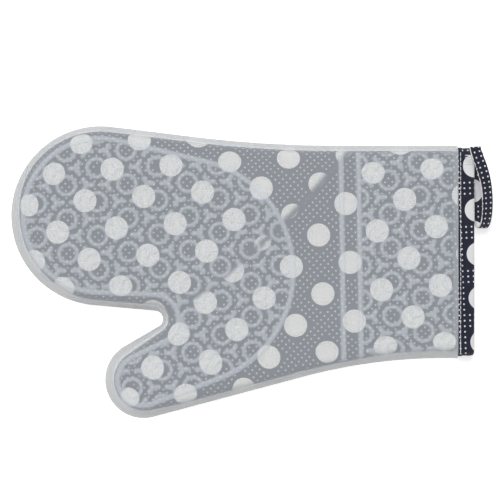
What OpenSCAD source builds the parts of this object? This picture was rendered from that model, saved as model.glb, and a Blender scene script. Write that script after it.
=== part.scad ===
// Oven mitt: a moulded silicone glove over a padded cotton mitten with a bound cuff and a hanging loop.
// It lies on its back on z = 0 with the palm up, the fingers towards -X and the cuff towards +X.
// The mitt bends at two folds, one across the fingers and one across the root of the thumb, so each layer
// that crosses a fold is made in a hand, a fingers and a thumb piece.

/* [Mitt] */
// Length from the finger tip to the edge of the cuff
mitt_length = 320; // [280:1:390]
// Width over the four fingers
hand_width = 124; // [105:1:150]
// How far the thumb reaches past the lower edge of the fingers
thumb_reach = 78; // [70:1:95]
// Thickness lying flat, over the ribs on both faces
mitt_depth = 26; // [22:0.5:32]
// Radius of the rounded edge all the way round
edge_radius = 7; // [5.5:0.5:8.5]

/* [Thumb] */
// Radius of the thumb's round tip
thumb_radius = 26.5; // [22:0.5:29]
// Distance from the finger tip back to the thumb's tip
thumb_setback = 65; // [55:1:75]
// Distance from the finger tip to the bottom of the crotch
crotch_depth = 105; // [95:1:120]
// Distance of the crotch below the lower edge of the fingers
crotch_drop = 9.5; // [7:0.5:14]
// Radius at the bottom of the crotch
crotch_radius = 3; // [2:0.5:5]
// Angle of the thumb below the line of the fingers, in degrees
thumb_angle = 25; // [15:1:40]

/* [Cuff] */
// Width of the cuff
cuff_width = 147; // [122:1:177]
// Step from the upper edge of the fingers down to the upper edge of the cuff
cuff_step = 13.5; // [8:0.5:20]
// Length of the cuff that runs straight along its upper edge
upper_straight = 93; // [60:1:110]
// Length of the cuff that runs straight along its lower edge
lower_straight = 20; // [12:1:40]
// Fullness of the upper waist, as a share of the widest arc that fits
upper_fullness = 0.88; // [0.5:0.01:0.95]
// Fullness of the lower waist, as a share of the widest arc that fits
lower_fullness = 0.73; // [0.5:0.01:0.95]

/* [Layers] */
// Thickness of the silicone wall
silicone_wall = 1.6; // [1.2:0.1:2.2]
// Height of the ribs above the silicone wall
rib_height = 0.8; // [0.5:0.1:1.2]
// Room between the silicone's wall and the lining's edge
lining_ease = 2.2; // [1:0.1:3]
// Thickness of the printed cotton
print_cotton = 0.6; // [0.4:0.1:0.8]
// Thickness of the wadding
wadding = 2.4; // [1.6:0.1:3]
// Thickness of the inner cotton
inner_cotton = 0.6; // [0.4:0.1:0.8]
// Thickness of the sewn seam between the palm and back pieces
seam = 1; // [0.6:0.1:1.6]

/* [Ribs] */
// Width of every rib
rib_width = 3.4; // [2.5:0.1:4.5]
// Distance of the contour rib's middle from the mitt's outline
rib_inset = 9; // [8:0.5:12]
// Radius of the contour rib round the crotch
rib_crotch_radius = 14; // [12:0.5:18]
// Radius of the bow that closes the contour rib towards the wrist
bow_radius = 78; // [74:1:92]
// Distance from the finger tip to the bow's furthest point
bow_reach = 195; // [185:1:210]
// Distance from the cuff's edge to the first wrist rib
wrist_rib_setback = 91; // [70:1:100]
// Distance between the two wrist ribs
wrist_rib_pitch = 12; // [8:0.5:16]

/* [Binding] */
// Width of the binding
binding_width = 17.5; // [13.5:0.5:24]
// Width of the binding that shows past the silicone's mouth
binding_show = 11.3; // [8:0.1:13]
// Length of one topstitch
stitch_length = 2.7; // [2:0.1:4]
// Distance from one topstitch to the next
stitch_pitch = 3.3; // [3:0.1:5]
// Thickness of the thread
thread = 0.5; // [0.3:0.1:0.8]

/* [Loop] */
// Length of the hanging loop
loop_length = 56; // [45:1:70]
// Width of the loop's ribbon
ribbon_width = 8; // [6:0.5:10]
// Thickness of the loop's ribbon
ribbon_thickness = 1; // [0.8:0.1:1.4]
// Distance between the loop's two strands where it is widest
loop_spread = 9.8; // [8.5:0.1:12]
// Lean of the ribbon away from standing on edge, in degrees
loop_lean = 50; // [40:1:60]
// Distance of the loop's root below the cuff's upper edge
loop_inset = 3; // [2:0.5:6]

/* [Folds] */
// Distance from the finger tip to the fold across the fingers
finger_fold_setback = 86; // [78:1:92]
// Distance from the middle of the thumb's tip back to its fold
thumb_fold_back = 17.5; // [14:0.5:22]
// Gap between the pieces on the two sides of a fold
fold_gap = 0.6; // [0.4:0.1:1]

/* [Hidden] */

// Chord error allowed on the arcs of an outline
sag = 0.2;
// Reach of a cutting block past the mitt
beyond = 400;
// Gap between the loop and the cuff's edge
loop_gap = 0.3;

// Width of the ribbon with the thread along its edge
sewn_width = ribbon_width + thread;
// How far the loop stands past the cuff's edge
loop_past_cuff = loop_gap + sewn_width * sin(loop_lean)
    + (loop_spread + ribbon_thickness) * cos(loop_lean);

// The frame's origin is under the middle of the whole mitt, loop included
x_tip = -(mitt_length + loop_past_cuff) / 2;
x_cuff = x_tip + mitt_length;
y_top = (hand_width + thumb_reach) / 2;
z_mid = mitt_depth / 2;
y_cuff_top = y_top - cuff_step;
y_cuff_low = y_cuff_top - cuff_width;

// Places along the cuff
x_silicone_end = x_cuff - binding_show;
x_binding = x_cuff - binding_width;

// Depths of the layers' outer faces below the silicone's outer face
depth_print = silicone_wall;
depth_wadding = depth_print + print_cotton;
depth_inner = depth_wadding + wadding;
depth_hollow = depth_inner + inner_cotton;

// ---- Outline: a belt round signed circles [x, y, radius], negative where the outline is hollow ----

function turn_of(angle) = angle - 360 * floor(angle / 360);

// Direction of the outward normal on the straight run from circle a to circle b
function run_normal(a, b) =
    atan2(b[1] - a[1], b[0] - a[0]) - acos((a[2] - b[2]) / norm([b[0] - a[0], b[1] - a[1]]));

function arc_points(c, from, to) =
    let (turn = c[2] > 0 ? turn_of(to - from) : -turn_of(from - to))
    let (count = max(1, ceil(abs(turn) / (2 * acos(1 - min(1, sag / abs(c[2])))))))
    [for (i = [0:count]) [
        c[0] + c[2] * cos(from + turn * i / count),
        c[1] + c[2] * sin(from + turn * i / count)
    ]];

function belt(circles) =
    let (n = len(circles))
    [for (i = [0:n - 1]) each arc_points(
        circles[i],
        run_normal(circles[(i + n - 1) % n], circles[i]),
        run_normal(circles[i], circles[(i + 1) % n])
    )];

function inset_circles(circles, inset) = [for (c = circles) [c[0], c[1], c[2] - inset]];

// Radius of the waist arc that leaves the cuff's straight edge `run` away from circle c, whose middle lies
// `rise` inside that edge
function waist_radius(run, rise, radius, fullness) =
    fullness * (run * run + rise * rise - radius * radius) / (2 * (radius - rise));

finger_tip = [x_tip + hand_width / 2, y_top - hand_width / 2, hand_width / 2];
crotch = [x_tip + crotch_depth - crotch_radius, y_top - hand_width - crotch_drop, -crotch_radius];
thumb_tip = [x_tip + thumb_setback + thumb_radius, thumb_radius - y_top, thumb_radius];

x_upper_waist = x_cuff - upper_straight;
x_lower_waist = x_cuff - lower_straight;
upper_waist_radius = waist_radius(
    x_upper_waist - finger_tip[0], y_cuff_top - finger_tip[1], finger_tip[2], upper_fullness);
lower_waist_radius = waist_radius(
    x_lower_waist - thumb_tip[0], thumb_tip[1] - y_cuff_low, thumb_tip[2], lower_fullness);

// The outline runs on past the cuff and is cut square there
run_on = 40;
run_on_radius = 20;

mitt_circles = [
    [x_cuff + run_on - run_on_radius, y_cuff_low + run_on_radius, run_on_radius],
    [x_cuff + run_on - run_on_radius, y_cuff_top - run_on_radius, run_on_radius],
    [x_upper_waist, y_cuff_top + upper_waist_radius, -upper_waist_radius],
    finger_tip,
    crotch,
    thumb_tip,
    [x_lower_waist, y_cuff_low - lower_waist_radius, -lower_waist_radius]
];

rib_circles = [
    [x_tip + bow_reach - bow_radius, 0, bow_radius],
    [finger_tip[0], finger_tip[1], finger_tip[2] - rib_inset],
    [crotch[0], crotch[1], -rib_crotch_radius],
    [thumb_tip[0], thumb_tip[1], thumb_tip[2] - rib_inset]
];

// ---- Folds ----

x_fold = x_tip + finger_fold_setback;
thumb_way = [-cos(thumb_angle), -sin(thumb_angle)];
thumb_fold = [thumb_tip[0] - thumb_way[0] * thumb_fold_back, thumb_tip[1] - thumb_way[1] * thumb_fold_back];

module slab_block(low, high) {
    translate([-beyond, -beyond, low])
        cube([2 * beyond, 2 * beyond, high - low]);
}

// Everything on the fingers' side of their fold, above the line of the crotch
module fingers_zone(gap) {
    translate([x_fold - gap - beyond, crotch[1], -beyond])
        cube([beyond, beyond, 2 * beyond]);
}

// Everything on the thumb's side of its fold, below the line of the crotch
module thumb_zone(gap) {
    intersection() {
        translate([thumb_fold[0], thumb_fold[1], -beyond])
            rotate([0, 0, 180 + thumb_angle])
                translate([gap, -beyond, 0])
                    cube([beyond, 2 * beyond, 2 * beyond]);
        translate([-beyond, crotch[1] - 2 * beyond, -beyond])
            cube([2 * beyond, 2 * beyond, 2 * beyond]);
    }
}

// Keeps the part of its children that belongs to one body of the mitt
module in_zone(zone) {
    if (zone == "hand") {
        difference() {
            children();
            fingers_zone(-fold_gap / 2);
            thumb_zone(-fold_gap / 2);
        }
    } else if (zone == "fingers") {
        intersection() {
            children();
            fingers_zone(fold_gap / 2);
        }
    } else {
        intersection() {
            children();
            thumb_zone(fold_gap / 2);
        }
    }
}

// ---- Layers ----

// The mitt's solid form, `depth` below the silicone's outer face, cut square at x_end. Its edge is drawn in
// by `ease` more than that, and is stepped: each step stands just outside the true quarter circle.
edge_steps = 3;

module form(depth, x_end, ease) {
    half_depth = z_mid - rib_height;
    for (i = [0:edge_steps - 1]) {
        inset = edge_radius * (1 - cos(90 * i / edge_steps)) + depth + ease;
        half = half_depth - edge_radius * (1 - sin(90 * (i + 1) / edge_steps)) - depth;
        translate([0, 0, z_mid - half])
            linear_extrude(2 * half)
                intersection() {
                    polygon(belt(inset_circles(mitt_circles, inset)));
                    translate([x_end - 2 * beyond, -beyond])
                        square([2 * beyond, 2 * beyond]);
                }
    }
}

// A hollow layer between two depths that ends at x_end and is open there
module layer(outer_depth, inner_depth, x_end, ease) {
    difference() {
        form(outer_depth, x_end, ease);
        form(inner_depth, x_end + run_on / 2, ease);
    }
}

// The palm or back half of a lining layer, which stops at the seam
module half_layer(outer_depth, inner_depth, x_end, side) {
    intersection() {
        layer(outer_depth, inner_depth, x_end, lining_ease);
        if (side == "palm")
            slab_block(z_mid + seam / 2, beyond);
        else
            slab_block(-beyond, z_mid - seam / 2);
    }
}

module print_half(side, zone) {
    color("midnightblue")
        in_zone(zone)
            half_layer(depth_print, depth_wadding, x_binding, side);
}

module wadding_half(side, zone) {
    color("ivory")
        in_zone(zone)
            half_layer(depth_wadding, depth_inner, x_cuff - print_cotton, side);
}

module inner_half(side, zone) {
    color("whitesmoke")
        in_zone(zone)
            half_layer(depth_inner, depth_hollow, x_binding, side);
}

module lining_seam(zone) {
    color("white")
        in_zone(zone)
            intersection() {
                layer(depth_print, depth_hollow, x_binding, lining_ease);
                slab_block(z_mid - seam / 2, z_mid + seam / 2);
            }
}

// ---- Silicone glove ----

module contour_rib() {
    difference() {
        polygon(belt(inset_circles(rib_circles, -rib_width / 2)));
        polygon(belt(inset_circles(rib_circles, rib_width / 2)));
    }
}

// The wrist ribs run a little way over the rounded edge at both ends
module wrist_ribs() {
    over_edge = 1.5;
    intersection() {
        for (i = [0:1])
            translate([x_cuff - wrist_rib_setback + i * wrist_rib_pitch - rib_width / 2, -beyond])
                square([rib_width, 2 * beyond]);
        polygon(belt(inset_circles(mitt_circles, edge_radius - over_edge)));
    }
}

// The ribs of both faces, each rooted in the wall
module ribs() {
    root = silicone_wall / 4;
    for (z = [0, mitt_depth - rib_height - root])
        translate([0, 0, z])
            linear_extrude(rib_height + root) {
                contour_rib();
                wrist_ribs();
            }
}

module silicone(zone) {
    color("lightsteelblue")
        in_zone(zone)
            union() {
                layer(0, depth_print, x_silicone_end, 0);
                ribs();
            }
}

// ---- Cuff binding ----

// A folded strip that wraps the raw ends of the print, the wadding and the inner cotton, and fills the
// silicone's mouth
module cuff_binding() {
    color("midnightblue")
        difference() {
            form(depth_print, x_cuff, 0);
            form(depth_hollow, x_cuff + run_on / 2, lining_ease);
            translate([x_binding - 2 * beyond, -beyond, -beyond])
                cube([2 * beyond, 2 * beyond, 2 * beyond]);
            for (side = ["palm", "back"])
                half_layer(depth_wadding, depth_inner, x_cuff - print_cotton, side);
        }
}

// One row of stitches on each face, just past the silicone's mouth
module binding_topstitch() {
    flat_inset = edge_radius * (1 - cos(90 * (edge_steps - 1) / edge_steps)) + depth_print + thread;
    row = cuff_width - 2 * flat_inset;
    count = floor((row - stitch_length) / stitch_pitch);
    start = y_cuff_low + flat_inset + (row - count * stitch_pitch - stitch_length) / 2;
    face = z_mid - rib_height - depth_print;
    color("white")
        for (i = [0:count], z = [z_mid + face, z_mid - face - thread])
            translate([x_silicone_end + 2 * thread, start + i * stitch_pitch, z])
                cube([thread, stitch_length, thread]);
}

// ---- Hanging loop ----

function bezier(p, count) =
    [for (i = [0:count]) let (t = i / count, s = 1 - t)
        s * s * s * p[0] + 3 * s * s * t * p[1] + 3 * s * t * t * p[2] + t * t * t * p[3]];

// Steps along each curve of the loop, and the depth of its turn
loop_steps = 8;
turn_depth = 0.75 * loop_spread;
turn_start = loop_length - turn_depth;
// The bowed strand leaves the root this far from the straight one, and swings out and down from there
strand_gap = 1.2 * ribbon_thickness;
bow_out = 0.75 * loop_spread;
bow_down = 0.14 * loop_length;

// The loop's middle line, from its root out along the bowed strand, round the turn and back
loop_line = concat(
    bezier([
        [strand_gap, 0], [bow_out, -bow_down], [loop_spread, -loop_length / 2], [loop_spread, -turn_start]
    ], loop_steps),
    [for (i = [1:loop_steps]) [
        loop_spread / 2 * (1 + cos(180 * i / loop_steps)),
        -turn_start - turn_depth * sin(180 * i / loop_steps)
    ]],
    [[0, 0]]
);

function side_step(line, i) =
    let (a = line[max(0, i - 1)], b = line[min(len(line) - 1, i + 1)])
    let (way = (b - a) / norm(b - a))
    [way[1], -way[0]];

function beside(line, offset) = [for (i = [0:len(line) - 1]) line[i] + offset * side_step(line, i)];

module ribbon_outline(thickness) {
    far = beside(loop_line, thickness / 2);
    near = beside(loop_line, -thickness / 2);
    count = len(near);
    polygon(concat(far, [for (i = [1:count]) near[count - i]]));
}

// Stands the loop beside the cuff: its root is at the top, and it leans over from standing on edge
module at_loop() {
    rise = (loop_spread * sin(loop_lean) + sewn_width * cos(loop_lean)) / 2;
    translate([
        x_cuff + loop_gap + sewn_width * sin(loop_lean) + ribbon_thickness / 2 * cos(loop_lean),
        y_cuff_top - silicone_wall - loop_inset,
        z_mid - rise
    ])
        rotate([0, -loop_lean, 0])
            children();
}

module hanging_loop() {
    color("midnightblue")
        at_loop()
            linear_extrude(ribbon_width)
                ribbon_outline(ribbon_thickness);
}

// The thread that closes the folded ribbon, along the edge that leans towards the cuff
module loop_edge_stitch() {
    color("white")
        at_loop()
            translate([0, 0, ribbon_width])
                linear_extrude(thread)
                    ribbon_outline(ribbon_thickness / 2);
}

// A row of close bars over the tucked ends of the loop, on the palm face of the binding
module loop_bartack() {
    bars = 6;
    bar_pitch = 1.2;
    bar_length = binding_show / 2;
    color("white")
        for (i = [0:bars - 1])
            translate([
                x_cuff - bar_length - 2 * thread,
                y_cuff_top - edge_radius - i * bar_pitch - thread,
                mitt_depth - rib_height - depth_print
            ])
                cube([bar_length, thread, thread]);
}

silicone("hand");  // silicone_hand
silicone("fingers");  // silicone_fingers
silicone("thumb");  // silicone_thumb
print_half("palm", "hand");  // print_palm_hand
print_half("palm", "fingers");  // print_palm_fingers
print_half("palm", "thumb");  // print_palm_thumb
print_half("back", "hand");  // print_back_hand
print_half("back", "fingers");  // print_back_fingers
print_half("back", "thumb");  // print_back_thumb
wadding_half("palm", "hand");  // wadding_palm_hand
wadding_half("palm", "fingers");  // wadding_palm_fingers
wadding_half("palm", "thumb");  // wadding_palm_thumb
wadding_half("back", "hand");  // wadding_back_hand
wadding_half("back", "fingers");  // wadding_back_fingers
wadding_half("back", "thumb");  // wadding_back_thumb
inner_half("palm", "hand");  // inner_palm_hand
inner_half("palm", "fingers");  // inner_palm_fingers
inner_half("palm", "thumb");  // inner_palm_thumb
inner_half("back", "hand");  // inner_back_hand
inner_half("back", "fingers");  // inner_back_fingers
inner_half("back", "thumb");  // inner_back_thumb
lining_seam("hand");  // seam_hand
lining_seam("fingers");  // seam_fingers
lining_seam("thumb");  // seam_thumb
cuff_binding();
binding_topstitch();
hanging_loop();
loop_edge_stitch();
loop_bartack();
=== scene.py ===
"""An oven mitt: a moulded silicone glove over a padded cotton mitten with a bound cuff and a hanging loop.

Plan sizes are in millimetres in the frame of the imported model, and meshes are made in metres.
"""

import math

import bpy
import numpy as np
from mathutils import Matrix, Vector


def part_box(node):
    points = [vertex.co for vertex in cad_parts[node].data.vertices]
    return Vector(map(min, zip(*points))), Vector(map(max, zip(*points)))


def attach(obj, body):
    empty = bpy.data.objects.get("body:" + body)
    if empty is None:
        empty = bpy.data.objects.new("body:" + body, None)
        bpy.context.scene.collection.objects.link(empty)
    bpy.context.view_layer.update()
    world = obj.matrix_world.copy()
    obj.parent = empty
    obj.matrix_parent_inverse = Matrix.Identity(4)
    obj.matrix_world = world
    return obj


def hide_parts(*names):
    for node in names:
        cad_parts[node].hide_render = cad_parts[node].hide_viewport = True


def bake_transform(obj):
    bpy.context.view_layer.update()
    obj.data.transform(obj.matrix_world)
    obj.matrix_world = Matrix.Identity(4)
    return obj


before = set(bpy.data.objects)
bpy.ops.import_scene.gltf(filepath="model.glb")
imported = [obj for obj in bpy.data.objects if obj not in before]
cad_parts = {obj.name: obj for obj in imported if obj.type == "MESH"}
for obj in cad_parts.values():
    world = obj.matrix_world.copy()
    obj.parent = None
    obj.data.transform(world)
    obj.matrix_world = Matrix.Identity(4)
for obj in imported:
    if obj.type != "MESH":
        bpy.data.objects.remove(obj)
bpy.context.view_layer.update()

# ---- Table, light and camera ----
# A white light table under a large overhead softbox. The camera looks straight down on the palm through a
# lens of about 180 mm.

MM = 0.001
VIEW_WIDTH = 347.0
VIEW_MIDDLE = (-1.7, 15.3)
LENS = 180.0
SENSOR = 36.0
MITT_MIDDLE = 13.0
ROOM_LIGHT = 0.36
SOFTBOX_LIGHT = 0.54 * math.pi
SOFTBOX_WIDTH = math.radians(25)
SOFTBOX_TILT = (math.radians(-19), math.radians(-8), 0)
TABLE_SIZE = 40.0
TABLE_GAP = 0.2


def linear(colour):
    """An sRGB hex colour as linear red, green, blue and alpha."""
    shares = [int(colour[i : i + 2], 16) / 255 for i in (1, 3, 5)]
    return [s / 12.92 if s <= 0.04045 else ((s + 0.055) / 1.055) ** 2.4 for s in shares] + [1.0]


def add(tree, kind, inputs=(), **settings):
    """Adds a node. inputs gives a value or another node's output for each socket, by name or number."""
    node = tree.nodes.new(kind)
    for name, value in settings.items():
        setattr(node, name, value)
    for socket, value in dict(inputs).items():
        if isinstance(value, bpy.types.NodeSocket):
            tree.links.new(value, node.inputs[socket])
        else:
            node.inputs[socket].default_value = value
    return node


def new_material(name):
    """A material with an empty node tree, and that tree."""
    made = bpy.data.materials.new(name)
    made.use_nodes = True
    made.node_tree.nodes.clear()
    return made, made.node_tree


def place(piece):
    bpy.context.scene.collection.objects.link(piece)
    return piece


bpy.context.scene.view_settings.view_transform = "Standard"

world = bpy.data.worlds.new("soft_room")
bpy.context.scene.world = world
world.use_nodes = True
world.node_tree.nodes["Background"].inputs["Color"].default_value = linear("#FFFFFF")
world.node_tree.nodes["Background"].inputs["Strength"].default_value = ROOM_LIGHT

softbox = place(bpy.data.objects.new("softbox", bpy.data.lights.new("softbox", "SUN")))
softbox.data.energy = SOFTBOX_LIGHT
softbox.data.angle = SOFTBOX_WIDTH
softbox.rotation_euler = SOFTBOX_TILT

bpy.ops.mesh.primitive_plane_add(size=TABLE_SIZE, location=(0, 0, -TABLE_GAP * MM))
table = bpy.context.object
table.name = "light_table"

# Opal acrylic sheet, lit from below: an even white that leaves hardly a shadow
acrylic, tree = new_material("opal_acrylic")
glow = add(tree, "ShaderNodeBsdfPrincipled", {
    "Base Color": linear("#EDEDED"), "Roughness": 0.9,
    "Emission Color": linear("#FFFFFF"), "Emission Strength": 0.56,
})
add(tree, "ShaderNodeOutputMaterial", {"Surface": glow.outputs[0]})
table.data.materials.append(acrylic)

camera = place(bpy.data.objects.new("camera", bpy.data.cameras.new("camera")))
camera.data.lens = LENS
camera.data.sensor_width = SENSOR
camera.location = (
    VIEW_MIDDLE[0] * MM, VIEW_MIDDLE[1] * MM, (MITT_MIDDLE + VIEW_WIDTH * LENS / SENSOR) * MM,
)
bpy.context.scene.camera = camera

# ---- Inner cotton, wadding and printed cotton: the three cloths of the palm and of the back ----
# The mitten inside is cut from plain white cotton, needled polyester wadding and printed cotton, laid
# together and sewn round the edge, so each layer is a soft shell that follows the one outside it. The
# mitten doesn't quite reach the ends of the glove's fingers and thumb.

# Every layer has the plan of a left hand lying palm up: a belt of arcs and straight runs round the finger
# tip, the crotch, the thumb and two hollow waists. The layers nest inside each other round a 7 mm edge.
x_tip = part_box("silicone_fingers")[0].x / MM
y_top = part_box("silicone_fingers")[1].y / MM
y_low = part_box("silicone_thumb")[0].y / MM
x_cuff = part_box("cuff_binding")[1].x / MM
x_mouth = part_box("silicone_hand")[1].x / MM
x_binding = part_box("cuff_binding")[0].x / MM
z_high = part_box("silicone_hand")[1].z / MM
SILICONE_WALL = 1.6
RIB_HEIGHT = 0.8
y_cuff_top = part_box("cuff_binding")[1].y / MM + SILICONE_WALL
y_cuff_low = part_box("cuff_binding")[0].y / MM - SILICONE_WALL
z_mid = z_high / 2
half_depth = z_mid - RIB_HEIGHT
EDGE_RADIUS = 7.0
FINGER_RADIUS = 62.0
THUMB_RADIUS = 26.5
CROTCH_RADIUS = 6.0
THUMB_SET_BACK = 65.0
CROTCH_SET_BACK = 105.0
CROTCH_BELOW_FINGERS = 9.5
RUN_ON = 40.0
RUN_ON_RADIUS = 20.0
UPPER_STRAIGHT = 93.0
LOWER_STRAIGHT = 20.0
UPPER_FULLNESS = 0.88
LOWER_FULLNESS = 0.73

finger_tip = (x_tip + FINGER_RADIUS, y_top - FINGER_RADIUS, FINGER_RADIUS)
thumb_tip = (x_tip + THUMB_SET_BACK + THUMB_RADIUS, y_low + THUMB_RADIUS, THUMB_RADIUS)
crotch = (
    x_tip + CROTCH_SET_BACK - CROTCH_RADIUS,
    y_top - 2 * FINGER_RADIUS - CROTCH_BELOW_FINGERS,
    -CROTCH_RADIUS,
)


def waist(x, y, side, tip, fullness):
    """The hollow circle that meets a straight cuff edge at x, y and reaches round to a tip's circle."""
    run, rise = x - tip[0], side * (y - tip[1])
    radius = fullness * (run**2 + rise**2 - tip[2] ** 2) / (2 * (tip[2] - rise))
    return (x, y + side * radius, -radius)


mitt_outline = [
    (x_cuff + RUN_ON - RUN_ON_RADIUS, y_cuff_low + RUN_ON_RADIUS, RUN_ON_RADIUS),
    (x_cuff + RUN_ON - RUN_ON_RADIUS, y_cuff_top - RUN_ON_RADIUS, RUN_ON_RADIUS),
    waist(x_cuff - UPPER_STRAIGHT, y_cuff_top, 1, finger_tip, UPPER_FULLNESS),
    finger_tip,
    crotch,
    thumb_tip,
    waist(x_cuff - LOWER_STRAIGHT, y_cuff_low, -1, thumb_tip, LOWER_FULLNESS),
]


def run_normals(circles):
    """The direction, in radians, in which each straight run from a circle to the next faces outwards."""
    normals = []
    for a, b in zip(circles, circles[1:] + circles[:1]):
        across, up = b[0] - a[0], b[1] - a[1]
        normals.append(math.atan2(up, across) - math.acos((a[2] - b[2]) / math.hypot(across, up)))
    return normals


def belt_depth(circles, points):
    """How far inside the belt each point lies, and the direction further in."""
    normals = run_normals(circles)
    nearest = np.full(len(points), np.inf)
    depth = np.zeros(len(points))
    inward = np.zeros((len(points), 2))

    def keep(found, way, valid):
        better = valid & (np.abs(found) < nearest)
        nearest[better] = np.abs(found)[better]
        depth[better] = found[better]
        inward[better] = way[better]

    for i, (x, y, radius) in enumerate(circles):
        sign = math.copysign(1, radius)
        start, end = normals[i - 1], normals[i]
        from_middle = points - (x, y)
        far = np.maximum(np.hypot(*from_middle.T), 1e-9)
        facing = np.arctan2(sign * from_middle[:, 1], sign * from_middle[:, 0])
        swept = (sign * (end - start)) % (2 * math.pi)
        keep(
            radius - sign * far, -sign * from_middle / far[:, None],
            (sign * (facing - start)) % (2 * math.pi) <= swept + 1e-9,
        )
        out = np.array((math.cos(end), math.sin(end)))
        along = np.array((-out[1], out[0]))
        other = circles[(i + 1) % len(circles)]
        length = np.dot(np.array(other[:2]) - (x, y), along)
        from_run = from_middle - radius * out
        run = from_run @ along
        keep(-from_run @ out, np.tile(-out, (len(points), 1)), (run >= 0) & (run <= length))
    return depth, inward


def smooth(low, high, value):
    """0 below low, 1 above high and a smooth step between, whichever of them is greater."""
    share = np.clip((value - low) / (high - low), 0, 1)
    return share * share * (3 - 2 * share)


def open_edges(faces):
    """The edges that only one face has, in that face's direction."""
    directed = {(a, b) for face in faces for a, b in zip(face, face[1:] + face[:1])}
    return sorted((a, b) for a, b in directed if (b, a) not in directed)


def renumbered(faces):
    """The vertices that the faces use, in order, and the faces by their numbers among them."""
    used = sorted({v for face in faces for v in face})
    number = dict(zip(used, range(len(used))))
    return used, [[number[v] for v in face] for face in faces]


def trimmed_plan(field, pitch, x_stop):
    """Squares of one pitch over the plan up to x_stop, trimmed to where field is positive: the points, the
    faces and the edges along the trimmed border, whose left is inside."""
    xs = x_stop - pitch * np.arange(math.ceil((x_stop - x_tip) / pitch), -1, -1)
    ys = y_low + pitch * np.arange(math.ceil((y_top - y_low) / pitch) + 1)
    points = np.stack(np.meshgrid(xs, ys, indexing="ij"), -1).reshape(-1, 2)
    depth, inward = field(points)
    on_border = np.abs(depth) < pitch / 6
    points[on_border] -= depth[on_border, None] * inward[on_border]
    depth[on_border] = 0
    inside = depth >= 0
    corner = (np.arange(len(xs) - 1)[:, None] * len(ys) + np.arange(len(ys) - 1)).ravel()
    cells = np.stack([corner, corner + len(ys), corner + len(ys) + 1, corner + 1], 1)
    count = inside[cells].sum(1)
    faces = cells[count == 4].tolist()
    crossings, cut_points = {}, []
    for cell in cells[(count > 0) & (count < 4)].tolist():
        face = []
        for a, b in zip(cell, cell[1:] + cell[:1]):
            if inside[a]:
                face.append(a)
            if inside[a] != inside[b]:
                kept, key = (a if inside[a] else b), (min(a, b), max(a, b))
                if depth[kept] == 0:
                    face.append(kept)
                    continue
                if key not in crossings:
                    crossings[key] = len(points) + len(cut_points)
                    share = depth[a] / (depth[a] - depth[b])
                    cut_points.append(points[a] + share * (points[b] - points[a]))
                face.append(crossings[key])
        face = [v for i, v in enumerate(face) if v != face[i - 1]]
        if len(face) > 2:
            faces.append(face)
    cut_points = np.array(cut_points)
    off, inward = field(cut_points)
    points = np.concatenate([points, cut_points - off[:, None] * inward])
    used, faces = renumbered(faces)
    points = points[used]
    at_stop = points[:, 0] > x_stop - pitch / 100
    border = [(a, b) for a, b in open_edges(faces) if not (at_stop[a] and at_stop[b])]
    return points, faces, border


CROWN_RUN = 18.0
THUMB_PULL = np.array((2.6, -2.6))
THUMB_PULL_BEGINS = -50.0
THUMB_PULL_WHOLE = -85.0


class Form:
    """Half of the mitt's form, from the middle of its palm face round its edge and down to a height.

    Each vertex keeps the point it is based on, its outward way, and how much of the edge radius it goes
    sideways and up, so that the same mesh can be placed at any depth below the outer face."""

    def __init__(self, ease, pitch, x_stop, turns, z_low, drops):
        def field(points):
            depth, inward = belt_depth(mitt_outline, points)
            return depth - EDGE_RADIUS - ease(points), inward

        points, faces, border = trimmed_plan(field, pitch, x_stop)
        inward = field(points)[1]
        rim = sorted({v for edge in border for v in edge})
        rings = [(math.sin(a), math.cos(a), 0.0) for a in np.linspace(0, math.pi / 2, turns + 1)[1:]]
        rings += [(1.0, 0.0, share) for share in np.linspace(0, 1, drops + 1)[1:]]
        base, out, turn = [points], [-inward], [np.tile((0.0, 1.0, 0.0), (len(points), 1))]
        previous = {v: v for v in rim}
        for number, ring in enumerate(rings):
            this = {v: len(points) + number * len(rim) + i for i, v in enumerate(rim)}
            base.append(points[rim])
            out.append(-inward[rim])
            turn.append(np.tile(ring, (len(rim), 1)))
            faces += [[previous[b], previous[a], this[a], this[b]] for a, b in border]
            previous = this
        self.base = np.concatenate(base)
        self.out = np.concatenate(out)
        self.turn = np.concatenate(turn)
        self.faces = faces
        self.lowest = sorted(previous.values())
        self.z_low = z_low

    def at(self, depth):
        """The vertices at this depth below the outer face; depth may be a number for each."""
        radius = EDGE_RADIUS - np.asarray(depth, float)
        side, up, drop = self.turn.T
        plan = self.base + self.out * (radius * side)[..., None]
        z_round = z_mid + half_depth - EDGE_RADIUS
        z = z_round + radius * up - drop * (z_round - self.z_low)
        return np.column_stack([plan, z])

    def unrolled(self, depth, ease):
        """Where each vertex lies on the cloth when its rounded edge is opened out flat. The cloth takes up
        as much again as its ease in the crown near its edge, and turning it right side out pulls on the
        thumb's."""
        side, up, drop = self.turn.T
        run = (EDGE_RADIUS - depth) * np.arctan2(side, up)
        run += drop * (z_mid + half_depth - EDGE_RADIUS - self.z_low)
        inside, inward = belt_depth(mitt_outline, self.base)
        slack = ease(self.base)
        inside -= slack + SILICONE_WALL
        run += slack * smooth(CROWN_RUN, 0, inside)
        out = np.where(side[:, None] > 0, self.out, -inward)
        flat = self.base + out * run[:, None]
        return flat - THUMB_PULL * smooth(THUMB_PULL_BEGINS, THUMB_PULL_WHOLE, flat[:, 1:])


SWELL = 2.4
SWELL_RUN = 16.0
WAVE = 0.35
WAVE_FADE = (6.0, 20.0)


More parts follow.
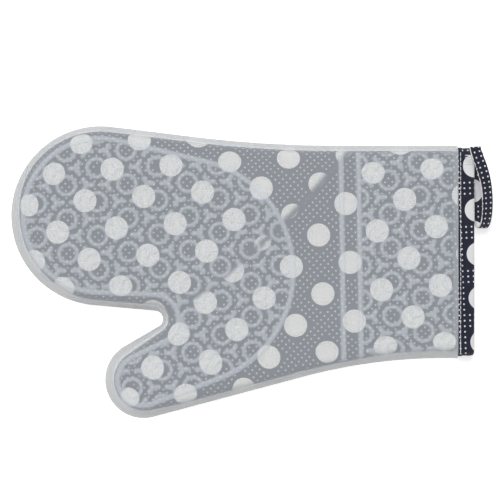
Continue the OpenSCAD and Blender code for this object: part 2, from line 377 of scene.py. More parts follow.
def swollen(points):
    """The palm side crowned as the wadding fills it, with long low waves away from the edge; the middle
    height stays where it is."""
    depth = belt_depth(mitt_outline, points[:, :2])[0]
    x, y = points[:, 0], points[:, 1]
    swell = SWELL * (1 - np.exp(-np.maximum(depth, 0) / SWELL_RUN))
    swell += WAVE * np.sin(x / 23 + y / 41) * np.sin(y / 19 - x / 57) * smooth(*WAVE_FADE, depth)
    out = points.copy()
    out[:, 2] += swell * np.maximum(points[:, 2] - z_mid, 0) / half_depth
    return out


def turned_over(points):
    """The same points on the back: under the middle height, and not crowned, because the mitt lies on it."""
    return points * (1, 1, -1) + (0, 0, 2 * z_mid)


THUMB_ANGLE = math.radians(25)
thumb_way = np.array((-math.cos(THUMB_ANGLE), -math.sin(THUMB_ANGLE)))
crotch_bottom = np.array((crotch[0] + CROTCH_RADIUS, crotch[1]))


def on_thumb(points):
    """Whether each point is on the thumb's side of the line from the crotch to the mitt's lower edge."""
    return ((points[:, :2] - crotch_bottom) @ thumb_way > 0) & (points[:, 1] < crotch[1])


def finger_blend(piece):
    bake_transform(piece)


def thumb_blend(piece):
    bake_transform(piece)


def new_piece(name, points, faces, material, plan=None, marks=None, normals=None):
    """A smooth mesh from points in mm. plan is stored in metres as the UV map that patterns are laid on, and
    marks are named numbers for each point that a material reads."""
    mesh = bpy.data.meshes.new(name)
    mesh.from_pydata((points * MM).tolist(), [], faces)
    corner_vertex = np.zeros(len(mesh.loops), np.int32)
    mesh.loops.foreach_get("vertex_index", corner_vertex)
    plan = points[:, :2] if plan is None else plan
    mesh.uv_layers.new(name="cloth_plan").data.foreach_set("uv", (plan[corner_vertex] * MM).ravel())
    for mark, values in (marks or {}).items():
        mesh.attributes.new(mark, "FLOAT", "POINT").data.foreach_set("value", values)
    mesh.shade_smooth()
    if normals is not None:
        mesh.normals_split_custom_set_from_vertices(normals)
    mesh.materials.append(material)
    return place(bpy.data.objects.new(name, mesh))


def split_pieces(name, points, faces, material, nodes, plan=None, marks=None):
    """Makes a layer as two pieces that share their border's points and normals: one for the hand and fingers
    and one for the thumb."""
    whole = bpy.data.meshes.new("whole")
    whole.from_pydata(points.tolist(), [], faces)
    normals = np.zeros(len(points) * 3, np.float32)
    whole.vertices.foreach_get("normal", normals)
    normals = normals.reshape(-1, 3)
    bpy.data.meshes.remove(whole)
    middles = np.array([points[face].mean(0) for face in faces])
    thumb_face = on_thumb(middles)
    made = []
    for ending, chosen, bend in (("", ~thumb_face, finger_blend), ("_at_thumb", thumb_face, thumb_blend)):
        used, part = renumbered([faces[i] for i in np.flatnonzero(chosen)])
        piece = new_piece(
            name + ending, points[used], part, material,
            plan=None if plan is None else plan[used], normals=normals[used],
            marks={mark: values[used] for mark, values in (marks or {}).items()},
        )
        bend(piece)
        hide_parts(*[n for n in nodes if n.endswith("_thumb") == (ending == "_at_thumb")])
        made.append(piece)
    return made


PRINT_COTTON = 0.6
WADDING = 2.4
INNER_COTTON = 0.6
SEAM = 1.0
CLEARANCE = 0.15
EASE = 1.9
TIP_EASE = 2.3
CUFF_EASE = 1.4
TIP_NEAR = 12.0
TIP_FAR = 58.0
CUFF_EASE_RISE = 40.0
CUFF_EASE_BEGINS = 90.0
CUFF_EASE_WHOLE = 50.0
finger_end = (x_tip + 8, y_top - 86)
thumb_end = (thumb_tip[0] - THUMB_RADIUS, thumb_tip[1])


def lining_ease(points):
    """Room between the glove's wall and the mitten's edge: more at the ends of the fingers and the thumb,
    which the mitten doesn't quite reach, and at the cuff's lower edge."""
    at_tip = np.zeros(len(points))
    for end in (finger_end, thumb_end):
        far = np.hypot(points[:, 0] - end[0], points[:, 1] - end[1])
        at_tip = np.maximum(at_tip, smooth(TIP_FAR, TIP_NEAR, far))
    at_cuff = smooth(y_cuff_low + CUFF_EASE_RISE, y_cuff_low, points[:, 1])
    at_cuff *= smooth(x_cuff - CUFF_EASE_BEGINS, x_cuff - CUFF_EASE_WHOLE, points[:, 0])
    return EASE + TIP_EASE * at_tip + CUFF_EASE * at_cuff


def shell(form, outer_depth, thickness):
    """A closed cloth of this thickness: its outer side, its inner side and the strip that joins them."""
    outer, inner = form.at(outer_depth), form.at(outer_depth + thickness)
    count = len(outer)
    faces = form.faces + [[v + count for v in reversed(face)] for face in form.faces]
    faces += [[b, a, a + count, b + count] for a, b in open_edges(form.faces)]
    return np.concatenate([outer, inner]), faces


def plain_weave(tree, plan, pitch, strength):
    """Bump of a plain weave: threads over and under each other both ways, about one pitch apart."""
    bands = {"Vector": plan, "Scale": 1 / (math.pi * pitch)}
    across = add(tree, "ShaderNodeTexWave", bands)
    along = add(tree, "ShaderNodeTexWave", bands, bands_direction="Y")
    threads = add(tree, "ShaderNodeMath", {
        0: across.outputs["Fac"], 1: along.outputs["Fac"]}, operation="MULTIPLY")
    return add(tree, "ShaderNodeBump", {
        "Height": threads.outputs[0], "Strength": strength, "Distance": 0.2 * MM})


def millimetres(tree):
    """The position on the flat cloth in mm, so a noise's scale is one over its clouds' real size in mm."""
    plan = add(tree, "ShaderNodeUVMap", uv_map="cloth_plan")
    scaled = add(tree, "ShaderNodeVectorMath", {0: plan.outputs[0], "Scale": 1 / MM}, operation="SCALE")
    return scaled.outputs[0]


# Thread spacing that shows: the real cloth's 30 threads to the centimetre are drawn as 12
WEAVE_PITCH = 0.83


def white_cotton():
    """Bleached plain-weave cotton: matt, and a little warm where it creases."""
    made, tree = new_material("bleached_cotton")
    plan = millimetres(tree)
    cloud = add(tree, "ShaderNodeTexNoise", {"Vector": plan, "Scale": 0.06, "Detail": 3.0})
    shade = add(tree, "ShaderNodeMix", {
        "Factor": cloud.outputs["Fac"], "A": linear("#E4E2DC"), "B": linear("#F4F3F0"),
    }, data_type="RGBA")
    cloth = add(tree, "ShaderNodeBsdfPrincipled", {
        "Base Color": shade.outputs["Result"], "Roughness": 0.92, "Sheen Weight": 0.2,
        "Normal": plain_weave(tree, plan, WEAVE_PITCH, 0.35).outputs[0],
    })
    add(tree, "ShaderNodeOutputMaterial", {"Surface": cloth.outputs[0]})
    return made


def needled_wadding():
    """Needled polyester wadding: off-white felted fibres with soft clumps."""
    made, tree = new_material("needled_wadding")
    plan = millimetres(tree)
    clumps = add(tree, "ShaderNodeTexNoise", {
        "Vector": plan, "Scale": 0.35, "Detail": 6.0, "Roughness": 0.7})
    shade = add(tree, "ShaderNodeMix", {
        "Factor": clumps.outputs["Fac"], "A": linear("#D8D4C8"), "B": linear("#F2F0E8"),
    }, data_type="RGBA")
    felt = add(tree, "ShaderNodeBump", {
        "Height": clumps.outputs["Fac"], "Strength": 0.6, "Distance": 0.6 * MM})
    cloth = add(tree, "ShaderNodeBsdfPrincipled", {
        "Base Color": shade.outputs["Result"], "Roughness": 1.0, "Normal": felt.outputs[0],
    })
    add(tree, "ShaderNodeOutputMaterial", {"Surface": cloth.outputs[0]})
    return made


DOT_RADIUS = 8.0
PIN_RADIUS = 0.6
PINS_PER_DOT = 8
CLEAR_PINS = 2.9
INK_EDGE = 0.2
DOT_EDGE = 0.4
VEILED_EDGE = 0.7
VEILED_PIN = 0.8


def dots_and_pins(tree, plan, side, turn, ink_edge=INK_EDGE, pin_white=1.0):
    """Where the white shows: big dots on a square lattice of this side, and pin dots on every eighth of
    it except close round a big dot. plan is measured from the middle of a big dot, ink_edge is how wide
    a dot's soft edge is, and pin_white how white a pin dot is."""
    turned = add(tree, "ShaderNodeVectorRotate", {"Vector": plan, "Angle": -turn}, rotation_type="Z_AXIS")
    cells = add(tree, "ShaderNodeVectorMath", {0: turned.outputs[0], "Scale": 1 / side}, operation="SCALE")

    def from_nearest(at):
        half = add(tree, "ShaderNodeVectorMath", {0: at, 1: (0.5, 0.5, 0.5)}, operation="ADD")
        share = add(tree, "ShaderNodeVectorMath", {0: half.outputs[0]}, operation="FRACTION")
        off = add(tree, "ShaderNodeVectorMath", {
            0: share.outputs[0], 1: (0.5, 0.5, 0.5)}, operation="SUBTRACT")
        flat = add(tree, "ShaderNodeVectorMath", {
            0: off.outputs[0], 1: (1.0, 1.0, 0.0)}, operation="MULTIPLY")
        return flat.outputs[0]

    def disc(offset, scale, radius, soft, full=1.0):
        far = add(tree, "ShaderNodeVectorMath", {0: offset}, operation="LENGTH")
        return add(tree, "ShaderNodeMapRange", {
            "Value": far.outputs["Value"], "From Min": (radius - soft / 2) / scale,
            "From Max": (radius + soft / 2) / scale, "To Min": full, "To Max": 0.0,
        }, interpolation_type="SMOOTHSTEP").outputs[0]

    dot = disc(from_nearest(cells.outputs[0]), side, DOT_RADIUS, min(ink_edge, DOT_EDGE))
    pins = add(tree, "ShaderNodeVectorMath", {0: cells.outputs[0], "Scale": PINS_PER_DOT}, operation="SCALE")
    off_pin = from_nearest(pins.outputs[0])
    pin = disc(off_pin, side / PINS_PER_DOT, PIN_RADIUS, ink_edge, pin_white)
    pin_middle = add(tree, "ShaderNodeVectorMath", {0: pins.outputs[0], 1: off_pin}, operation="SUBTRACT")
    middle_cells = add(tree, "ShaderNodeVectorMath", {
        0: pin_middle.outputs[0], "Scale": 1 / PINS_PER_DOT}, operation="SCALE")
    from_dot = add(tree, "ShaderNodeVectorMath", {
        0: from_nearest(middle_cells.outputs[0])}, operation="LENGTH")
    clear = add(tree, "ShaderNodeMath", {
        0: from_dot.outputs["Value"], 1: CLEAR_PINS / PINS_PER_DOT}, operation="GREATER_THAN")
    kept = add(tree, "ShaderNodeMath", {0: pin, 1: clear.outputs[0]}, operation="MULTIPLY")
    return add(tree, "ShaderNodeMath", {0: dot, 1: kept.outputs[0]}, operation="MAXIMUM").outputs[0]


def printed_cloth(tree, white, plan, weave, whites=("#E2E3E6", "#F3F3F4")):
    """Navy plain-weave cotton whose white discharge print takes the dye out: matt, with a faint sheen."""
    cloud = add(tree, "ShaderNodeTexNoise", {"Vector": plan, "Scale": 0.09, "Detail": 4.0})
    navy = add(tree, "ShaderNodeMix", {
        "Factor": cloud.outputs["Fac"], "A": linear("#161929"), "B": linear("#25283F"),
    }, data_type="RGBA")
    print_white = add(tree, "ShaderNodeMix", {
        "Factor": cloud.outputs["Fac"], "A": linear(whites[0]), "B": linear(whites[1]),
    }, data_type="RGBA")
    colour = add(tree, "ShaderNodeMix", {
        "Factor": white, "A": navy.outputs["Result"], "B": print_white.outputs["Result"],
    }, data_type="RGBA")
    cloth = add(tree, "ShaderNodeBsdfPrincipled", {
        "Base Color": colour.outputs["Result"], "Roughness": 0.9, "Sheen Weight": 0.1,
        "Normal": plain_weave(tree, plan, WEAVE_PITCH, weave).outputs[0],
    })
    add(tree, "ShaderNodeOutputMaterial", {"Surface": cloth.outputs[0]})


DOT_SIDE = 28.72
LINING_TURN = math.radians(45 + 4.1)
DOT_BEFORE_PLEAT = (-74.98, 52.22, 0.0)
DOT_AFTER_PLEAT = (45.6, 25.6, 0.0)
PLEAT_RADIUS = 468.0
PLEAT_SOFT = 4.5
PLEAT_MIDDLE = (-304.8, 369.4, 0.0)
PLEAT_HEIGHT = 0.5
PLEAT_RISE = (-9.0, 0.0)
PLEAT_DROP = (0.8, -0.2)


def lining_print():
    """The print of the palm and the back, cut on the bias. A pleat from the crotch to the upper edge
    takes up the fullness, so the pattern jumps there. The milky wall over it softens its pin dots."""
    made, tree = new_material("dotted_cotton_lining")
    plan = millimetres(tree)
    from_middle = add(tree, "ShaderNodeVectorMath", {0: plan, 1: PLEAT_MIDDLE}, operation="DISTANCE")
    past = add(tree, "ShaderNodeMath", {
        0: from_middle.outputs["Value"], 1: PLEAT_RADIUS}, operation="SUBTRACT")
    after = add(tree, "ShaderNodeMath", {0: past.outputs[0], 1: 0.0}, operation="GREATER_THAN")
    # Near the pleat line the white print fades to a tenth: partly the cloth turning under the fold, and
    # partly painted shade along the pleat
    off_pleat = add(tree, "ShaderNodeMath", {0: past.outputs[0]}, operation="ABSOLUTE")
    tuck_and_pleat_shade = add(tree, "ShaderNodeMapRange", {
        "Value": off_pleat.outputs[0], "From Max": PLEAT_SOFT, "To Min": 0.1}, interpolation_type="SMOOTHSTEP")
    dot = add(tree, "ShaderNodeMix", {
        "Factor": after.outputs[0], "A": DOT_BEFORE_PLEAT, "B": DOT_AFTER_PLEAT}, data_type="VECTOR")
    from_dot = add(tree, "ShaderNodeVectorMath", {0: plan, 1: dot.outputs["Result"]}, operation="SUBTRACT")
    white = dots_and_pins(tree, from_dot.outputs[0], DOT_SIDE, LINING_TURN, VEILED_EDGE, VEILED_PIN)
    shown = add(tree, "ShaderNodeMath", {0: white, 1: tuck_and_pleat_shade.outputs[0]}, operation="MULTIPLY").outputs[0]
    printed_cloth(tree, shown, plan, 0.03, ("#E2DED8", "#EEEAE4"))
    return made


def pleat_step(points):
    """Height of the pleat: the cloth before it rises over the cloth after it."""
    past = np.hypot(points[:, 0] - PLEAT_MIDDLE[0], points[:, 1] - PLEAT_MIDDLE[1]) - PLEAT_RADIUS
    return PLEAT_HEIGHT * smooth(*PLEAT_RISE, past) * smooth(*PLEAT_DROP, past)


under_print = SILICONE_WALL + PRINT_COTTON
SETTLE_BEGINS = 6.0
SETTLE_WHOLE = 26.0
# Layer, slot, material, depth, thickness, mesh pitch, where it ends and how far its palm piece settles
cloths = (
    ("inner", "inner_cotton", white_cotton(), under_print + WADDING, INNER_COTTON, 4.0, x_binding, 1.1),
    ("wadding", "wadding", needled_wadding(), under_print, WADDING, 4.0, x_cuff - 1.5 * PRINT_COTTON, 1.1),
    ("print", "printed_cotton", lining_print(), SILICONE_WALL, PRINT_COTTON, 2.0, x_mouth + 0.4, 0.5),
)
for layer, slot, material, depth, thickness, pitch, end, settled in cloths:
    form = Form(lining_ease, pitch, end, turns=5, z_low=z_mid + SEAM / 2, drops=2)
    points, faces = shell(form, depth + CLEARANCE, thickness - CLEARANCE)
    back_faces = [face[::-1] for face in faces]
    for side in ("palm", "back"):
        nodes = [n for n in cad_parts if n.startswith(f"{layer}_{side}_")]
        if side == "palm":
            placed = swollen(points)
            placed[:, 2] -= settled * smooth(
                x_binding - SETTLE_BEGINS, x_binding - SETTLE_WHOLE, placed[:, 0])
            if layer == "print":
                placed[:, 2] += pleat_step(points)
        else:
            placed = turned_over(points)
        pieces = split_pieces(
            f"{layer}_{side}", placed, faces if side == "palm" else back_faces, material, nodes,
            plan=np.tile(form.unrolled(depth, lining_ease), (2, 1)))

# ---- Edge seam of the mitten ----
# Palm and back are sewn together right round, with a polyester overlock thread that lies along the edge
# and is thicker at each stitch.

THREAD_RADIUS = 0.3
SEAM_RADIUS = 0.45
SEAM_STITCH = 2.6
SEAM_STEP = 0.8


def belt_line(circles, step):
    """Points in order round a belt, and the outward way at each."""
    normals = run_normals(circles)
    line, out = [], []
    for i, (x, y, radius) in enumerate(circles):
        sign = math.copysign(1, radius)
        start, end = normals[i - 1], normals[i]
        swept = sign * ((sign * (end - start)) % (2 * math.pi))
        for turn in np.linspace(0, swept, max(2, math.ceil(abs(swept * radius) / step)) + 1):
            way = np.array((math.cos(start + turn), math.sin(start + turn)))
            line.append((x, y) + radius * way)
            out.append(way)
        other = circles[(i + 1) % len(circles)]
        way = np.array((math.cos(end), math.sin(end)))
        finish_at = np.array(other[:2]) + other[2] * way
        count = math.ceil(np.linalg.norm(finish_at - line[-1]) / step)
        begin = line[-1]
        for share in range(1, count):
            line.append(begin + (finish_at - begin) * share / count)
            out.append(way)
    return np.array(line), np.array(out)


def quads(rings, count, closed=False):
    """Faces between rings of count points each and, if closed, from the last ring to the first."""
    faces = []
    for k in range(rings if closed else rings - 1):
        here, there = k * count, (k + 1) % rings * count
        for i in range(count):
            after = (i + 1) % count
            faces.append([here + i, here + after, there + after, there + i])
    return faces


def run_along(line):
    """The distance along a line at each of its points."""
    return np.concatenate([[0], np.cumsum(np.linalg.norm(np.diff(line, axis=0), axis=1))])


def tube(path, radius, sides=8):
    """A round thread along a path, with closed ends; radius may be a number for each point."""
    path = np.asarray(path, float)
    radius = np.broadcast_to(np.asarray(radius, float), len(path))
    way = np.gradient(path, axis=0)
    way /= np.linalg.norm(way, axis=1)[:, None]
    up = np.cross(way[0], (0.3, 0.2, 1.0))
    rings = []
    for at, along, size in zip(path, way, radius):
        up = up - along * (up @ along)
        up /= np.linalg.norm(up)
        beside = np.cross(along, up)
        turns = np.arange(sides) * 2 * math.pi / sides
        rings.append(at + size * (np.outer(np.cos(turns), up) + np.outer(np.sin(turns), beside)))
    last = (len(path) - 1) * sides
    faces = quads(len(path), sides) + [list(range(sides))[::-1], list(range(last, last + sides))]
    return np.concatenate(rings), faces


def gathered(parts):
    """One list of points and faces from several."""
    points, faces, count = [], [], 0
    for more_points, more_faces in parts:
        points.append(more_points)
        faces += [[v + count for v in face] for face in more_faces]
        count += len(more_points)
    return np.concatenate(points), faces


def polyester_thread():
    """Twisted polyester sewing thread: white, with a soft shine along its fibres."""
    made, tree = new_material("polyester_thread")
    plan = millimetres(tree)
    fibres = add(tree, "ShaderNodeTexNoise", {"Vector": plan, "Scale": 2.5, "Detail": 2.0})
    shade = add(tree, "ShaderNodeMix", {
        "Factor": fibres.outputs["Fac"], "A": linear("#D9DADD"), "B": linear("#F5F5F6"),
    }, data_type="RGBA")
    twist = add(tree, "ShaderNodeBump", {
        "Height": fibres.outputs["Fac"], "Strength": 0.4, "Distance": 0.2 * MM})
    thread = add(tree, "ShaderNodeBsdfPrincipled", {
        "Base Color": shade.outputs["Result"], "Roughness": 0.55, "Sheen Weight": 0.3,
        "Normal": twist.outputs[0],
    })
    add(tree, "ShaderNodeOutputMaterial", {"Surface": thread.outputs[0]})
    return made


thread = polyester_thread()
edge_line, edge_out = belt_line(mitt_outline, SEAM_STEP)
edge_inset = SILICONE_WALL + CLEARANCE + SEAM_RADIUS + lining_ease(edge_line)
seam_line = edge_line - edge_inset[:, None] * edge_out
seam_line = seam_line[seam_line[:, 0] < x_binding]
stitch_phase = np.arange(len(seam_line)) * SEAM_STEP * 2 * math.pi / SEAM_STITCH
seam_stitches = SEAM_RADIUS * (0.85 + 0.15 * np.cos(stitch_phase))
seam_line = np.column_stack([seam_line, np.full(len(seam_line), z_mid)])
thumb_part = np.flatnonzero(on_thumb(seam_line))
first, last = thumb_part[0], thumb_part[-1]
for name, stretches, nodes, bend in (
    ("edge_seam", ((0, first + 1), (last, len(seam_line))), ("seam_hand", "seam_fingers"), finger_blend),
    ("edge_seam_thumb", ((first, last + 1),), ("seam_thumb",), thumb_blend),
):
    points, faces = gathered([tube(seam_line[a:b], seam_stitches[a:b]) for a, b in stretches])
    seam = new_piece(name, points, faces, thread)
    bend(seam)
    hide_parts(*nodes)

# ---- Cuff binding and its topstitch ----
# A folded strip of the printed cotton, cut on the straight grain, wraps the raw edges of the three cloths.
# Its hem is turned under and sewn down through every layer just past the silicone's mouth.

FOLD_BACK = SILICONE_WALL + PRINT_COTTON + WADDING + INNER_COTTON
FOLD_MIDDLE = (SILICONE_WALL + FOLD_BACK) / 2
# Depth below the silicone's outer face, and place past the mouth or, for the fold, from the cuff's edge
HEM_SECTION = (
    (1.75, -0.4), (1.5, 0.1), (1.3, 0.7), (1.25, 1.6), (1.3, 2.7), (1.55, 3.2), (1.9, 3.5), (1.7, 4.1),
)
FOLD_SECTION = ((1.6, -4.0), (1.65, -2.0), (1.95, -1.0), (2.55, -0.3), (FOLD_MIDDLE, 0.0))
INNER_FOLD = ((2.3, -2.2), (2.55, -1.2), (FOLD_MIDDLE, -0.65))
STITCH_LENGTH = 2.7
STITCH_PITCH = 3.3
STITCH_PLACE = 1.6
STITCH_LEAN = 0.1
RING_STEP = 2.0
BINDING_DOT = (155.6, 12.6, 0.0)
BINDING_SIDE = 30.4
BINDING_TURN = math.radians(2.5)


def mirrored(section):
    """The same half section turned over about the fold's middle."""
    return tuple((2 * FOLD_MIDDLE - depth, x) for depth, x in section[::-1])


def cuff_ring(step):
    """Once round the cuff from the middle of its lower side: each point's base, its side's sign, how much
    of the edge radius it goes sideways and up, and its level, from 1 on the palm to -1 on the back."""
    low, high = y_cuff_low + EDGE_RADIUS, y_cuff_top - EDGE_RADIUS
    across = np.linspace(low, high, math.ceil((high - low) / step) + 1)
    turns = np.linspace(0, math.pi / 2, 7)
    ring = [(low, -1, 1.0, 0.0, 0.01), (low, -1, 1.0, 0.0, 0.5)]
    ring += [(low, -1, math.cos(a), math.sin(a), 1.0) for a in turns]
    ring += [(y, 1, 0.0, 1.0, 1.0) for y in across[1:-1]]
    ring += [(high, 1, math.sin(a), math.cos(a), 1.0) for a in turns]
    ring += [(high, 1, 1.0, 0.0, 0.5)]
    palm = np.array(ring)
    back = palm[::-1] * (1, 1, 1, -1, -1)
    return np.concatenate([palm, [(high, 1, 1.0, 0.0, 0.0)], back])


def ring_at(ring, depth, x):
    """The ring at a depth and a place along the mitt."""
    radius = EDGE_RADIUS - depth
    base, sign, side, up, level = ring.T
    height = level * (half_depth - EDGE_RADIUS) + radius * up
    points = np.column_stack([np.full(len(ring), x), base + sign * radius * side, z_mid + height])
    return swollen(points)


def print_on_grain(name, dot, side, turn):
    """The same print cut on the straight grain, with a big dot's middle at dot: crisp, as nothing lies
    over it, and its weave shows."""
    made, tree = new_material(name)
    plan = millimetres(tree)
    from_dot = add(tree, "ShaderNodeVectorMath", {0: plan, 1: dot}, operation="SUBTRACT")
    white = dots_and_pins(tree, from_dot.outputs[0], side, turn)
    printed_cloth(tree, white, plan, 0.4)
    return made


ring = cuff_ring(RING_STEP)
section = [(depth, x_mouth + x) for depth, x in HEM_SECTION]
section += [(depth, x_cuff + x) for depth, x in FOLD_SECTION + mirrored(FOLD_SECTION[:-1])]
section += [(FOLD_BACK, x_binding), (FOLD_BACK - PRINT_COTTON, x_binding)]
section += [(depth, x_cuff + x) for depth, x in mirrored(INNER_FOLD[:-1]) + INNER_FOLD[::-1]]
section += [(under_print, x_mouth + 0.6)]
rings = [ring_at(ring, depth, x) for depth, x in section]
count = len(ring)
faces = [face[:1] + face[:0:-1] for face in quads(len(section), count, closed=True)]
face_ring = rings[0]
along = run_along(face_ring)
middle = int(np.argmax(face_ring[:, 2]))
along += face_ring[middle, 1] - along[middle]
section_run = np.array(section)
run = run_along(section_run)
flat_end = len(HEM_SECTION) + 1
run += section_run[flat_end, 1] - run[flat_end]
plan = np.column_stack([np.repeat(run, count), np.tile(along, len(section))])
# The big dots' middles run off the folded edge
dotted_binding = print_on_grain("dotted_cotton_binding", BINDING_DOT, BINDING_SIDE, BINDING_TURN)
binding = new_piece("cuff_binding_cloth", np.concatenate(rings), faces, dotted_binding, plan=plan)
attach(binding, "hand")
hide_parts("cuff_binding")

stitched_depth = HEM_SECTION[3][0]
stitch_row = np.random.default_rng(7)
stitches = []
first_stitch = y_cuff_low + EDGE_RADIUS
stitch_count = int((y_cuff_top - y_cuff_low - 2 * EDGE_RADIUS) / STITCH_PITCH)
for i in range(-1, stitch_count + 1):
    y = first_stitch + (i + 0.5) * STITCH_PITCH
    lean = stitch_row.normal(0, STITCH_LEAN)
    for over in (False, True):
        line = []
        for share in np.linspace(-1, 1, 7):
            rise = THREAD_RADIUS * (0.7 - 1.6 * share**4)
            at = np.array([[
                x_mouth + STITCH_PLACE + lean * share, y + share * STITCH_LENGTH / 2,
                z_mid + half_depth - stitched_depth + rise]])
            line.append((turned_over(at) if over else swollen(at))[0])
        stitches.append(tube(line, THREAD_RADIUS, 6))
topstitch = new_piece("topstitch", *gathered(stitches), thread)
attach(topstitch, "hand")
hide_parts("binding_topstitch")

# ---- Silicone glove ----
# One moulding of translucent milky silicone, pressed between two steel halves, so it has a fine parting
# line round its edge. Both faces carry a contour rib, two wrist ribs, grip rings and three-armed studs.
# Where the moulding is thicker, or is seen along its wall, it is milkier.

RIB_WIDTH = 3.4
RIB_INSET = 9.0
RIB_CROTCH_INSET = 11.0
BOW_SET_BACK = 195.0
BOW_RADIUS = 78.0
contour_rib = [
    (x_tip + BOW_SET_BACK - BOW_RADIUS, 0.0, BOW_RADIUS),
    (finger_tip[0], finger_tip[1], finger_tip[2] - RIB_INSET),
    (crotch[0], crotch[1], -CROTCH_RADIUS - RIB_CROTCH_INSET),
    (thumb_tip[0], thumb_tip[1], thumb_tip[2] - RIB_INSET),
]
wrist_ribs = (x_cuff - 91, x_cuff - 79)
WRIST_SLANT = -0.0145
GRIP_HEIGHT = 0.7
RING_RADIUS = 6.25
RING_BAND = 2.5
COLUMN_PITCH = 20.9
RING_PITCH = 23.4
ARM_LENGTH = 4.1
ARM_WIDTH = 3.2
ARM_TURN = math.radians(59)
PALM_GRIP = ((-86.3, 60.5), math.radians(1.5))
CUFF_GRIP = ((94.5, 39.9), math.radians(1.9))
GRIP_FADE = 0.6
MOULD_PITCH = 0.8
PARTING_LINE = 0.25
# Where a raised shape's flank starts and ends, from outside its edge to inside it, and how far in from the
# glove's edge, or back from its mouth, the wrist ribs and the cuff's grip begin and are whole
FLANK = (0.3, -0.45)
RIB_END = (4.5, 6.0)
GRIP_END = (5.0, 6.5)
GRIP_FROM_MOUTH = (3.4, 4.6)


def raised(outside):
    """Share of the full height, by the distance outside a raised shape's edge."""
    return smooth(*FLANK, outside)


def grip(points, anchor, turn):
    """Height share of the rings and studs: rings in staggered columns from the middle of one of them, and
    a stud between each three."""
    local = points - anchor
    u = local[:, 0] * math.cos(turn) + local[:, 1] * math.sin(turn)
    v = local[:, 1] * math.cos(turn) - local[:, 0] * math.sin(turn)

    def in_column(column, shift):
        stagger = RING_PITCH / 2 * (column % 2)
        off = v - stagger - shift
        return off - RING_PITCH * np.round(off / RING_PITCH)

    column = np.round(u / COLUMN_PITCH)
    far = np.hypot(u - COLUMN_PITCH * column, in_column(column, 0))
    height = raised(np.abs(far - RING_RADIUS) - RING_BAND / 2)
    column = np.floor(u / COLUMN_PITCH)
    across = u - COLUMN_PITCH * column
    studs = ((1 / 3, RING_PITCH / 2, -1), (2 / 3, 0.0, 1))
    for share, shift, way in studs:
        x, y = (across - share * COLUMN_PITCH) * way, in_column(column, shift)
        for arm in (0, math.pi - ARM_TURN, math.pi + ARM_TURN):
            along = np.clip(x * math.cos(arm) + y * math.sin(arm), 0, ARM_LENGTH)
            off = np.hypot(x - along * math.cos(arm), y - along * math.sin(arm))
            height = np.maximum(height, raised(off - ARM_WIDTH / 2))
    return height


def relief(points):
    """Heights of the ribs and of the grip on the silicone's face."""
    depth = belt_depth(mitt_outline, points)[0]
    in_bow = belt_depth(contour_rib, points)[0]
    ribs = raised(np.abs(in_bow) - RIB_WIDTH / 2)
    for x_rib in wrist_ribs:
        off = np.abs(points[:, 0] - x_rib - WRIST_SLANT * points[:, 1]) - RIB_WIDTH / 2
        ribs = np.maximum(ribs, raised(off) * smooth(*RIB_END, depth))
    palm_grip = grip(points, *PALM_GRIP) * smooth(RIB_WIDTH / 2, RIB_WIDTH / 2 + GRIP_FADE, in_bow)
    after_rib = points[:, 0] - wrist_ribs[1] - WRIST_SLANT * points[:, 1] - RIB_WIDTH / 2
    cuff_zone = smooth(0, GRIP_FADE, after_rib) * smooth(*GRIP_END, depth)
    cuff_zone *= smooth(*GRIP_FROM_MOUTH, x_mouth - points[:, 0])
    grips = np.maximum(palm_grip, grip(points, *CUFF_GRIP) * cuff_zone)
    return np.maximum(RIB_HEIGHT * ribs, GRIP_HEIGHT * grips)


# Milkiness of each mm of wall, how many mm the relief adds, and the share of what lies behind that the
# edge of the relief, the glove's rim, its side wall, its mouth and its inner skin hide
MILKINESS = 0.33
RELIEF_MILK = 2.8
EDGE_MILK = 0.09
RIM_VEIL = 0.76
RIM_VEIL_PER_MM = 0.06
RIM_OVER_LINING = 2.2
RIM_PAST_LINING = 2.4
SIDE_VEIL = 0.74
MOUTH_VEIL = 0.12
MOUTH_BAND = (4.4, 3.0)
HIDDEN_VEIL = 0.0


def milky_silicone():
    """Food-grade silicone moulded against blasted steel: milky, satin, and clear enough to show the print.
    On the faces it scatters a little blue, as smoke does. Along the rim band it is painted a darker neutral
    grey:
    painted shade of the steep rim, which turns away from the light above. veil is how much of what lies
    behind is hidden."""
    made, tree = new_material("milky_silicone")
    plan = millimetres(tree)
    veil = add(tree, "ShaderNodeAttribute", attribute_name="veil", attribute_type="GEOMETRY")
    satin = add(tree, "ShaderNodeTexNoise", {"Vector": plan, "Scale": 1.1, "Detail": 4.0})
    gloss = add(tree, "ShaderNodeMapRange", {
        "Value": satin.outputs["Fac"], "To Min": 0.58, "To Max": 0.66})
    grain = add(tree, "ShaderNodeBump", {
        "Height": satin.outputs["Fac"], "Strength": 0.03, "Distance": 0.1 * MM})
    # Painted shade: the rim band is mixed from the bluish face colour to a darker grey
    wall = add(tree, "ShaderNodeAttribute", attribute_name="rim_shade_share", attribute_type="GEOMETRY")
    shade = add(tree, "ShaderNodeMix", {
        "Factor": wall.outputs["Fac"], "A": linear("#DAE1E8"), "B": linear("#D2D3D4"),
    }, data_type="RGBA")
    rubber = add(tree, "ShaderNodeBsdfPrincipled", {
        "Base Color": shade.outputs["Result"], "Roughness": gloss.outputs[0], "IOR": 1.41,
        "Alpha": veil.outputs["Fac"], "Normal": grain.outputs[0],
    })
    add(tree, "ShaderNodeOutputMaterial", {"Surface": rubber.outputs[0]})
    return made


def whole_form(form, palm, back):
    """Joins a palm and a back half along their lowest ring."""
    kept = np.setdiff1d(np.arange(len(palm)), form.lowest)
    number = np.arange(len(palm))
    number[kept] = len(palm) + np.arange(len(kept))
    faces = form.faces + [number[face[::-1]].tolist() for face in form.faces]
    return np.concatenate([palm, back[kept]]), faces


MOUTH_FLATNESS = 5.0


